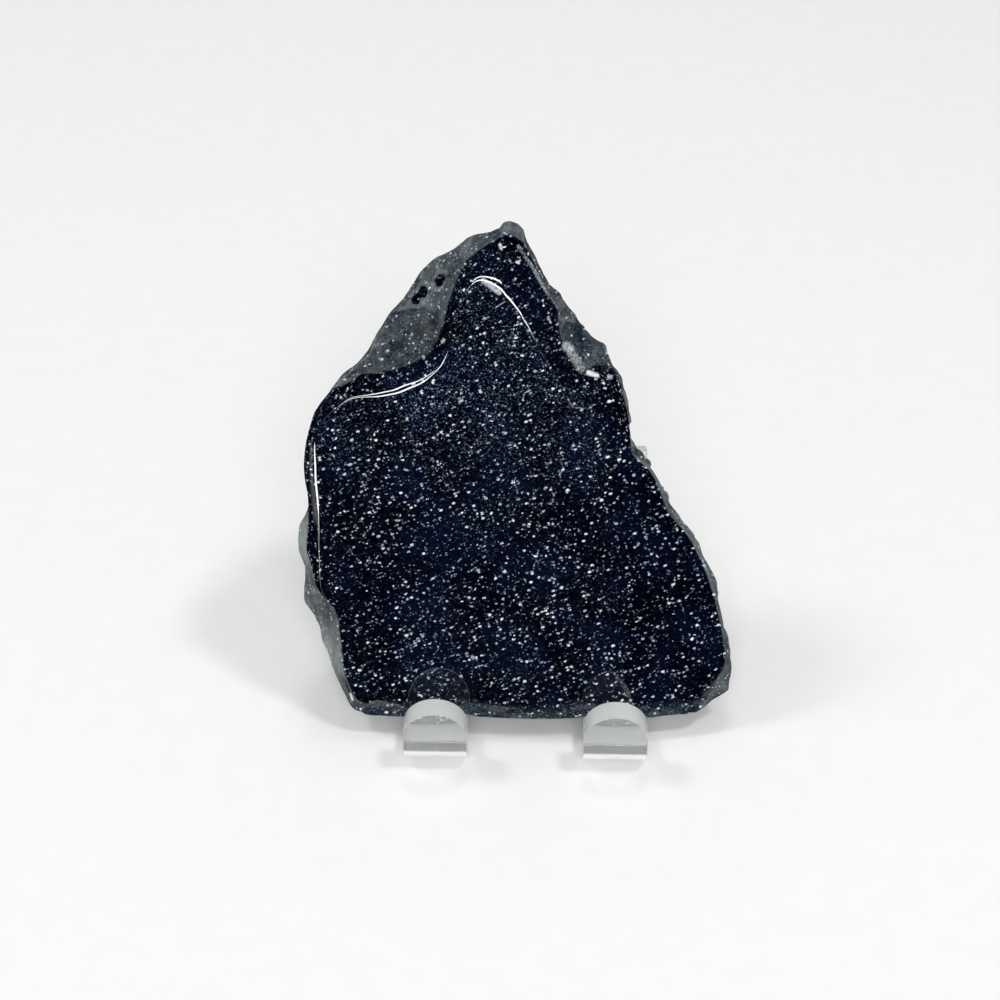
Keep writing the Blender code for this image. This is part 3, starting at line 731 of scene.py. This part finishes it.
    def column_angles(self) -> np.ndarray:
        """Angles of the columns, evenly spaced along the girdle's length."""
        points = np.array(self.girdle + self.girdle[:1])
        length = np.linalg.norm(np.diff(points, axis=0), axis=1)
        along = np.concatenate(([0.0], np.cumsum(length)))
        even = np.arange(self.columns) / self.columns * along[-1]
        u = np.interp(even, along, points[:, 0]) - self.middle[0]
        v = np.interp(even, along, points[:, 1]) - self.middle[1]
        return np.sort(np.arctan2(v, u) % TURN)

    def rings(self, angles: np.ndarray) -> tuple[np.ndarray, np.ndarray]:
        """The eight rings, as in the part's source.

        Args:
            angles: Angles of the columns.

        Returns:
            Distances from the middle and depths, each of shape (8, columns).
        """
        def ring(outline: list[Point], width: float) -> list[np.ndarray]:
            """The outline's distances and other values, softened over so many columns."""
            return [softened(row, width) for row in around(outline, self.middle, angles)]

        girdle_r, girdle_w = ring(self.girdle, self.outline_softness)
        shoulder_r, shoulder_w = ring(self.shoulder, self.crease_softness)
        shoulder_r = np.minimum(shoulder_r, girdle_r - self.ring_step)
        (face_r,) = ring(self.face_edge, self.crease_softness)
        face_r = np.minimum(face_r, shoulder_r - self.ring_step)
        back_r, back_w = ring(self.back_edge, self.back_softness)
        none = np.zeros_like(face_r)
        flat = none - self.back_depth
        radius = [none, face_r, shoulder_r, girdle_r, (girdle_r + back_r) / 2 + self.wall_bulge,
                  back_r, self.back_share * back_r, none]
        depth = [none, none, shoulder_w, girdle_w, (girdle_w + back_w) / 2, back_w, flat, flat]
        return np.array(radius), np.array(depth)

    def ways(self) -> np.ndarray:
        """The rows' places on the way from front to back, whole at each ring, poles left out."""
        stretches = [ring + tight_ends(count) for ring, count in enumerate(self.rows)]
        return np.concatenate(stretches)[1:]

    def loft(self, angles: np.ndarray, ways: np.ndarray) -> np.ndarray:
        """The slab before anything breaks off it.

        Args:
            angles: Angles of the columns.
            ways: Places of the rows.

        Returns:
            Places (u, v, w), shape (rows, columns, 3). Between two rings a row lies on the
            straight way from one to the other. Past the face's edge its depth starts level, as x
            squared over twice the roll's share, and goes on straight, so the polish rolls over.
        """
        radius, depth = self.rings(angles)
        share = around(self.roll, self.middle, angles)[1]
        low = np.minimum(ways.astype(int), Ring.BACK_FLAT)
        part = (ways - low)[:, None]
        rolled = np.where(part < share, part**2 / (2 * share), part - share / 2)
        rolled = rolled / (1 - share / 2)
        drop = np.where(low[:, None] == Ring.FACE_EDGE, rolled, part)
        r = radius[low] + part * (radius[low + 1] - radius[low])
        w = depth[low] + drop * (depth[low + 1] - depth[low])
        u = self.middle[0] + r * np.cos(angles)
        v = self.middle[1] + r * np.sin(angles)
        return np.stack((u, v, w), axis=-1)

    def plane_height(self, grid: np.ndarray, plane: tuple[Point, Point]) -> np.ndarray:
        """The w of a plane, given by a point and the way it faces, at each place's u and v."""
        point, facing = (np.array(value) for value in plane)
        slope = (grid[..., :2] - point[:2]) @ facing[:2]
        return point[2] - slope / facing[2]

    def break_flat(self, grid: np.ndarray) -> np.ndarray:
        """Break the slab off along its flat planes.

        Args:
            grid: Places of the loft.

        Returns:
            How far each front place was lowered. A place takes the lower of its own w and a front
            plane's w, blended over a twentieth of a millimetre, and the higher of its own w and a
            back plane's w. The caller holds the base at one height above the table afterwards.
        """
        soft = 0.05
        before = grid[..., 2].copy()
        for plane in self.face_breaks:
            gap = grid[..., 2] - self.plane_height(grid, plane)
            grid[..., 2] -= (gap + np.sqrt(gap**2 + soft**2)) / 2
        lowered = before - grid[..., 2]
        for plane in self.back_breaks:
            grid[..., 2] = np.maximum(grid[..., 2], self.plane_height(grid, plane))
        return lowered

    def scoop_out(self, grid: np.ndarray, share: np.ndarray, middle: np.ndarray,
                  facing: np.ndarray, radius: float, depth: float) -> np.ndarray:
        """Break one shell-shaped scoop out of the stone.

        Args:
            grid: Places, changed here.
            share: How much of the move each row makes.
            middle: The scoop's middle on the surface.
            facing: The way it faces.
            radius: The ball's radius.
            depth: How deep the ball reaches under the middle.

        Returns:
            How far each place moved. A place inside the ball goes back against the scoop's
            facing to the ball's skin, which is the root of the radius squared less its sideways
            distance squared behind the ball's centre.
        """
        facing = facing / np.linalg.norm(facing)
        centre = middle + facing * (radius - depth)
        offset = grid - centre
        ahead = offset @ facing
        side = (offset**2).sum(axis=-1) - ahead**2
        skin = -np.sqrt(np.maximum(radius**2 - side, 0.0))
        inside = (side < radius**2) & (ahead > skin) & (ahead < 0.25 * radius)
        moved = np.where(inside, ahead - skin, 0.0) * share[:, None]
        grid -= moved[..., None] * facing
        return moved

    def relief(self, grid: np.ndarray, broken: np.ndarray) -> np.ndarray:
        """Relief along the normals: three sizes of noise on breaks, a faint wave on the polish.

        Args:
            grid: Places of the stone.
            broken: How rough each place is, from 0 on the polish to 1.

        Returns:
            The height of the relief at each place.
        """
        low, mid, fine = (smooth_noise(grid, size, self.seed + k)
                          for k, size in enumerate((3.2, 1.3, 0.6)))
        rough = 0.20 * low + 0.11 * mid + 0.05 * fine - 0.06
        wave = 0.012 * smooth_noise(grid, 9.0, self.seed + 9)
        return broken * rough + (1 - broken) * wave

    def build_grid(self) -> tuple[np.ndarray, dict[str, np.ndarray]]:
        """Work the whole surface out.

        Returns:
            Places (u, v, w) with a row for the front pole and one for the back pole, and the
            numbers that the finish reads, each of shape (rows, columns).
        """
        angles, ways = self.column_angles(), self.ways()
        grid = self.loft(angles, ways)
        ahead = grid_normals(grid)[..., 2]
        plain = grid.copy()
        lowered = self.break_flat(grid)

        steps = np.linalg.norm(np.diff(plain, axis=0, prepend=plain[:1]), axis=-1)
        along = np.cumsum(steps, axis=0)
        _, line, crispness = around(self.break_line, self.middle, angles)
        at_line = np.array([np.interp(place, ways, along[:, column])
                            for column, place in enumerate(line)])
        past = np.clip((along - at_line) * crispness, -3.0, 3.0)
        broken = ease_step(-0.1, 0.5, past)

        past_face = ease_step(1.85, 2.0, ways)
        past_girdle = ease_step(2.7, 3.3, ways)
        for middle, facing, radius, depth in self.scoops:
            self.scoop_out(grid, past_face, np.array(middle), np.array(facing), radius, depth)
        rng = np.random.default_rng(self.seed)
        normals = grid_normals(grid)
        first = sum(self.rows[:3]) + 4
        last = sum(self.rows[:6])
        for _ in range(self.chip_count):
            row, column = rng.integers(first, last), rng.integers(self.columns)
            facing = unit(normals[row, column] + rng.normal(0.0, 0.25, 3))
            radius = rng.uniform(2.0, 8.0)
            self.scoop_out(grid, past_girdle, grid[row, column].copy(), facing, radius,
                           radius * rng.uniform(0.02, 0.06))
        normals = grid_normals(grid)
        jagged = around(self.roll, self.middle, angles)[2]
        strength = 0.25 + np.maximum(0.75 * ease_step(3.0, 3.7, ways)[:, None],
                                     jagged * ease_step(2.1, 2.9, ways)[:, None])
        grid += self.relief(grid, broken * strength)[..., None] * normals
        calm = np.maximum(ease_step(0.15, 0.9, lowered), 0.5 * ease_step(0.95, 1.1, ways)[:, None])
        for near, facing, radius, depth in self.pits:
            gap = ((grid - np.array(near)) ** 2).sum(axis=-1)
            middle = grid[np.unravel_index(gap.argmin(), gap.shape)].copy()
            hollow = self.scoop_out(grid, past_face, middle, np.array(facing), radius, depth)
            past = np.where(hollow > 0.04, -1.5, past)
            calm = np.maximum(calm, ease_step(0.02, 0.10, hollow))

        base_v = (self.base_height - FACE_FOOT[2] - grid[..., 2] * math.sin(LEAN)) / math.cos(LEAN)
        grid[..., 1] = np.maximum(grid[..., 1], base_v)

        normals = grid_normals(grid)
        around_it = (np.roll(grid, 2, 1) + np.roll(grid, -2, 1)) / 2
        across_it = grid.copy()
        across_it[2:-2] = (grid[:-4] + grid[4:]) / 2
        # How far each place stands out as a ridge; the finish lightens ridges, partly as wear and partly as a
        # painted highlight.
        ridge_wear_and_highlight = ((2 * grid - around_it - across_it) * normals).sum(axis=-1)
        pale = around(self.lightness, self.middle, angles)[1]
        numbers = {
            "break_mm": past,
            "pale": np.broadcast_to(pale, past.shape) * (1 - 0.5 * (ways > 4.0)[:, None]),
            "calm": calm,
            "ridge_wear_and_highlight": np.clip(ridge_wear_and_highlight / 0.12, 0.0, 1.0),
            "polish": ease_step(0.68, 0.80, ahead) * (1 - ease_step(1.4, 1.8, ways)[:, None]),
        }
        front = np.broadcast_to(grid[0].mean(axis=0), (1, 3))
        back = np.broadcast_to(grid[-1].mean(axis=0), (1, 3))
        flat = np.concatenate((front, grid.reshape(-1, 3), back))
        ends = {key: np.concatenate(([rows[0].mean()], rows.ravel(), [rows[-1].mean()]))
                for key, rows in numbers.items()}
        return flat, ends

    def build(self, finish: HematiteFinish) -> bpy.types.Object:
        """Make the stone's piece.

        Args:
            finish: Its finish.

        Returns:
            The piece: quads between the rows and a fan of triangles at each pole.
        """
        places, numbers = self.build_grid()
        rows = sum(self.rows) - 1
        quads = ring_indices(rows, self.columns) + 1
        first = np.arange(self.columns) + 1
        last = first + (rows - 1) * self.columns
        end = len(places) - 1
        fans = [np.column_stack((np.zeros_like(first), first, np.roll(first, -1))),
                np.column_stack((np.full_like(last, end), np.roll(last, -1), last))]
        mesh = bpy.data.meshes.new("hematite_surface")
        mesh.from_pydata(from_face(places), [], [*quads.tolist(), *fans[0].tolist(), *fans[1].tolist()])
        for key, value in numbers.items():
            layer = mesh.attributes.new(key, "FLOAT", "POINT")
            layer.data.foreach_set("value", value.astype(np.float32))
        mesh.shade_smooth()
        mesh.materials.append(finish.build())
        return add_piece("hematite_surface", mesh, "hematite_slab")


@dataclass
class AcrylicEasel:
    """The easel: one bent sheet, given its thickness and polished edges. Sizes in millimetres."""

    sheet: float = 3.0
    width: float = 32.2
    arm_width: float = 8.4
    lip_height: float = 10.3
    bend_inner_radius: float = 1.0
    plate_foot_y: float = 20.5
    plate_length: float = 31.0
    leg_root: float = 21.0
    leg_spread: float = math.radians(36.0)
    leg_kerf: float = 1.2
    leg_lift: float = 0.12
    polished_edge: float = 0.35
    lip_steps: int = 40
    bend_steps: int = 16

    def bent_path(self, corners: list[np.ndarray], radius: float) -> np.ndarray:
        """A line through the corners with each inner corner turned on an arc.

        Args:
            corners: Points (y, z).
            radius: The arcs' radius.

        Returns:
            Points (y, z). An arc starts the radius times the tangent of half the turn before its
            corner, and runs along the sine and one less the cosine of the angle turned so far.
        """
        path = [corners[0][None]]
        for before, corner, after in zip(corners, corners[1:], corners[2:]):
            incoming, outgoing = unit(corner - before), unit(after - corner)
            turn = math.acos(float(incoming @ outgoing))
            start = corner - incoming * radius * math.tan(turn / 2)
            side = unit(outgoing - incoming * (incoming @ outgoing))
            angle = np.linspace(0.0, turn, self.bend_steps + 1)[:, None]
            path.append(start + radius * (incoming * np.sin(angle) + side * (1 - np.cos(angle))))
        path.append(corners[-1][None])
        return np.concatenate(path)

    def strip(self, edges: tuple[float, ...], path: np.ndarray) -> np.ndarray:
        """Places on a strip of the sheet: each x in edges carried along a path of (y, z)."""
        x = np.broadcast_to(np.array(edges), (len(path), len(edges)))
        return np.stack((x, *(np.broadcast_to(c[:, None], x.shape) for c in path.T)), axis=-1)

    def lip(self, left: float, right: float, start: np.ndarray) -> np.ndarray:
        """The half-round end of an arm, as points on half a turn from its left side to its right."""
        angle = math.pi * (1 - np.arange(self.lip_steps + 1) / self.lip_steps)
        radius = (right - left) / 2
        x = (left + right) / 2 + radius * np.cos(angle)
        return np.column_stack((x, np.full_like(x, start[0]), start[1] + radius * np.sin(angle)))

    def middle_surface(self) -> bpy.types.Mesh:
        """The sheet's middle surface.

        Returns:
            A mesh of quads along the strips and one many-sided face for each lip.
        """
        half = self.sheet / 2
        radius = self.bend_inner_radius + half
        up = np.array((math.sin(LEAN), math.cos(LEAN)))
        foot = np.array((self.plate_foot_y + half * up[1], -half * up[0]))
        knee = foot + up * ((half - foot[1]) / up[1])
        root, top = foot + up * self.leg_root, foot + up * self.plate_length
        side = self.width / 2
        inner = side - self.arm_width
        leg = inner - self.leg_kerf

        lip_start = np.array((half, self.lip_height - self.arm_width / 2))
        arm = self.bent_path([lip_start, np.array((half, half)), knee, root], radius)
        turn = LEAN + self.leg_spread
        corner = root - up * radius * math.tan(turn / 2)
        sine, cosine = math.sin(self.leg_spread), math.cos(self.leg_spread)
        end_height = half * sine + self.leg_lift - self.polished_edge * (sine + cosine - 1)
        end = corner + (corner[1] - end_height) / cosine * np.array((sine, -cosine))
        tongue = self.bent_path([root, corner, end], radius)[1:]

        strips = [
            self.strip((-side, -inner, -leg, leg, inner, side), np.array((root, top))),
            self.strip((-side, -inner), arm),
            self.strip((inner, side), arm),
            self.strip((-leg, leg), tongue),
        ]
        lips = [self.lip(-side, -inner, lip_start), self.lip(inner, side, lip_start)]
        places, faces = [], []
        for grid in strips:
            rows, columns = grid.shape[:2]
            number = np.arange(rows * columns).reshape(rows, columns) + sum(map(len, places))
            quads = (number[:-1, :-1], number[:-1, 1:], number[1:, 1:], number[1:, :-1])
            faces += np.stack(quads, axis=-1).reshape(-1, 4).tolist()
            places.append(grid.reshape(-1, 3))
        for points in lips:
            faces.append((np.arange(len(points)) + sum(map(len, places))).tolist())
            places.append(points)
        mesh = bpy.data.meshes.new("acrylic_stand")
        mesh.from_pydata((np.concatenate(places) + EASEL_MIDDLE) * MM, [], faces)
        shell = bmesh.new()
        shell.from_mesh(mesh)
        bmesh.ops.remove_doubles(shell, verts=shell.verts, dist=0.01 * MM)
        bmesh.ops.recalc_face_normals(shell, faces=shell.faces)
        shell.to_mesh(mesh)
        shell.free()
        return mesh

    def build(self, finish: AcrylicFinish) -> bpy.types.Object:
        """Make the easel's piece.

        Args:
            finish: Its finish.

        Returns:
            The piece, with its thickness and its rounded, polished edges as modifiers.
        """
        mesh = self.middle_surface()
        mesh.materials.append(finish.build("clear_acrylic", False))
        mesh.materials.append(finish.build("sawn_acrylic", True))
        piece = add_piece("acrylic_stand", mesh, "acrylic_easel")
        solid = piece.modifiers.new("sheet", "SOLIDIFY")
        solid.thickness = self.sheet * MM
        solid.offset = 0.0
        solid.use_even_offset = True
        solid.material_offset_rim = 1
        polish = piece.modifiers.new("polished_edges", "BEVEL")
        polish.width = self.polished_edge * MM
        polish.segments = 4
        polish.limit_method = "ANGLE"
        polish.angle_limit = math.radians(50.0)
        polish.harden_normals = True
        mesh.shade_smooth()
        mesh.set_sharp_from_angle(angle=math.radians(40.0))
        return piece


@dataclass(frozen=True)
class SoftLight:
    """A rectangular soft light that faces the object. Lengths in metres, angles in degrees.

    The bearing turns from the front of the object to its right.
    """

    name: str
    bearing: float
    elevation: float
    distance: float
    width: float
    height: float
    radiance: float
    role: Role

    def build(self) -> bpy.types.Object:
        """Add the light.

        Returns:
            The light. Its power is its radiance times pi times its area.
        """
        lamp = bpy.data.lights.new(self.name, "AREA")
        lamp.shape = "RECTANGLE"
        lamp.size, lamp.size_y = self.width, self.height
        lamp.energy = self.radiance * math.pi * self.width * self.height
        holder = bpy.data.objects.new(self.name, lamp)
        bearing, elevation = math.radians(self.bearing), math.radians(self.elevation)
        away = Vector((math.sin(bearing) * math.cos(elevation),
                       -math.cos(bearing) * math.cos(elevation), math.sin(elevation)))
        target = Vector((0.0, 0.0, 0.025))
        holder.location = target + away * self.distance
        holder.rotation_euler = away.to_track_quat("Z", "Y").to_euler()
        holder.visible_glossy = self.role is Role.GLINT
        holder.visible_diffuse = self.role is Role.FILL
        bpy.context.scene.collection.objects.link(holder)
        return holder


@dataclass
class Studio:
    """The pale floor, the soft lights, the surroundings and the camera."""

    floor_size: float = 8.0
    floor_gap: float = -0.00005
    floor_fade: tuple[float, float] = (0.50, 1.10)
    floor_colour: Colour = (0.90, 0.90, 0.895, 1.0)
    lights: tuple[SoftLight, ...] = (
        SoftLight("left_softbox", -103.0, 51.0, 0.80, 0.16, 0.16, 15.7, Role.FILL),
        SoftLight("right_softbox", 82.0, 64.0, 0.80, 0.11, 0.11, 39.0, Role.FILL),
        SoftLight("top_softbox", 180.0, 66.0, 0.90, 0.20, 0.20, 9.5, Role.FILL),
        SoftLight("front_softbox", 2.0, 40.0, 0.90, 0.50, 0.25, 9.4, Role.FILL),
        SoftLight("low_strip", -8.0, 22.0, 0.80, 0.56, 0.065, 14.0, Role.GLINT),
        SoftLight("high_strip", -6.0, 34.5, 0.80, 0.58, 0.050, 14.0, Role.GLINT),
        SoftLight("side_light", -24.0, 5.5, 0.80, 0.24, 0.12, 14.0, Role.GLINT),
    )
    backdrop: Colour = (0.86, 0.865, 0.87, 1.0)
    sky: Colour = (0.30, 0.303, 0.305, 1.0)
    dim: Colour = (0.003, 0.003, 0.004, 1.0)
    camera_place: Point = (2.49, -206.57, 202.42)
    camera_aim: Point = (-2.03, -7.45, 35.29)
    lens: float = 73.43
    inner_bounces: int = 16

    def build_floor(self) -> bpy.types.Object:
        """Add the floor: a plain pale sheet with a very faint mottle, glowing like the backdrop
        far away, so that the two meet without a line.
        """
        half = self.floor_size / 2
        mesh = bpy.data.meshes.new("floor")
        low = self.floor_gap
        corners = [(-half, -half, low), (half, -half, low), (half, half, low), (-half, half, low)]
        mesh.from_pydata(corners, [], [(0, 1, 2, 3)])
        sh = Shading("pale_floor")
        shade = sh.remap(sh.noise(sh.places(), 0.004, 3.0), 0.3, 0.7, 0.985, 1.0)
        colour = sh.blend(1.0, self.floor_colour,
                          sh.node("CombineColor", {0: shade, 1: shade, 2: shade}).outputs[0],
                          "MULTIPLY")
        shader = sh.node("BsdfPrincipled", {"Base Color": colour, "Roughness": 0.7,
                                            "Specular IOR Level": 0.2})
        glow = sh.node("Emission", {"Color": self.backdrop})
        far = sh.remap(sh.vector("DISTANCE", sh.places(), (0.0, 0.0, 0.0)), *self.floor_fade)
        sheet = sh.node("MixShader", {0: far, 1: shader.outputs[0], 2: glow.outputs[0]})
        sh.tree.links.new(sheet.outputs[0], sh.output.inputs["Surface"])
        mesh.materials.append(sh.material)
        floor = bpy.data.objects.new("floor", mesh)
        bpy.context.scene.collection.objects.link(floor)
        return floor

    def build_surroundings(self) -> bpy.types.World:
        """Add the surroundings: a pale backdrop that gives a gentler light than it shows.

        Returns:
            The world. Polish mirrors it as a dim room, but as pale low down behind the object,
            by the product of two smooth steps in how far back and how low a direction points.
        """
        world = bpy.data.worlds.new("studio")
        world.use_nodes = True
        sh = Shading("studio", world.node_tree, "OutputWorld")
        parts = sh.node("SeparateXYZ", {0: sh.node("TexCoord").outputs["Generated"]}).outputs
        behind = sh.maths("MULTIPLY", sh.remap(parts[1], 0.10, 0.45),
                          sh.remap(parts[2], 0.60, 0.35))
        ray = sh.node("LightPath").outputs
        colour = sh.blend(ray["Is Diffuse Ray"], self.backdrop, self.sky)
        hidden = sh.maths("MULTIPLY", ray["Is Glossy Ray"], sh.maths("SUBTRACT", 1.0, behind))
        back = sh.node("Background", {"Color": sh.blend(hidden, colour, self.dim)})
        sh.tree.links.new(back.outputs[0], sh.output.inputs["Surface"])
        bpy.context.scene.world = world
        return world

    def build_camera(self) -> bpy.types.Object:
        """Add the camera at the photograph's viewpoint, with plain framing and no blur."""
        data = bpy.data.cameras.new("camera")
        data.lens, data.sensor_width = self.lens, 36.0
        data.clip_start, data.clip_end = 0.01, 50.0
        camera = bpy.data.objects.new("camera", data)
        place, aim = Vector(self.camera_place) * MM, Vector(self.camera_aim) * MM
        camera.location = place
        camera.rotation_euler = (place - aim).to_track_quat("Z", "Y").to_euler()
        bpy.context.scene.collection.objects.link(camera)
        bpy.context.scene.camera = camera
        return camera

    def build(self) -> None:
        """Build everything round the object, choose plain colour and let light run inside acrylic."""
        self.build_floor()
        self.build_surroundings()
        self.build_camera()
        for light in self.lights:
            light.build()
        bpy.context.scene.view_settings.view_transform = "Standard"
        bpy.context.scene.cycles.glossy_bounces = self.inner_bounces
        bpy.context.scene.cycles.transmission_bounces = self.inner_bounces


def save_sizes() -> None:
    bpy.context.view_layer.update()


def main() -> None:
    """Build the stone, the easel and the studio in order."""
    logging.basicConfig(level=logging.INFO, format="%(name)s: %(message)s")
    for part, finish in ((HematiteSlab(), HematiteFinish()), (AcrylicEasel(), AcrylicFinish())):
        piece = part.build(finish)
        log.info("%s: %d faces", piece.name, len(piece.data.polygons))
    Studio().build()
    log.info("studio ready")
    save_sizes()


if __name__ == "__main__":
    main()
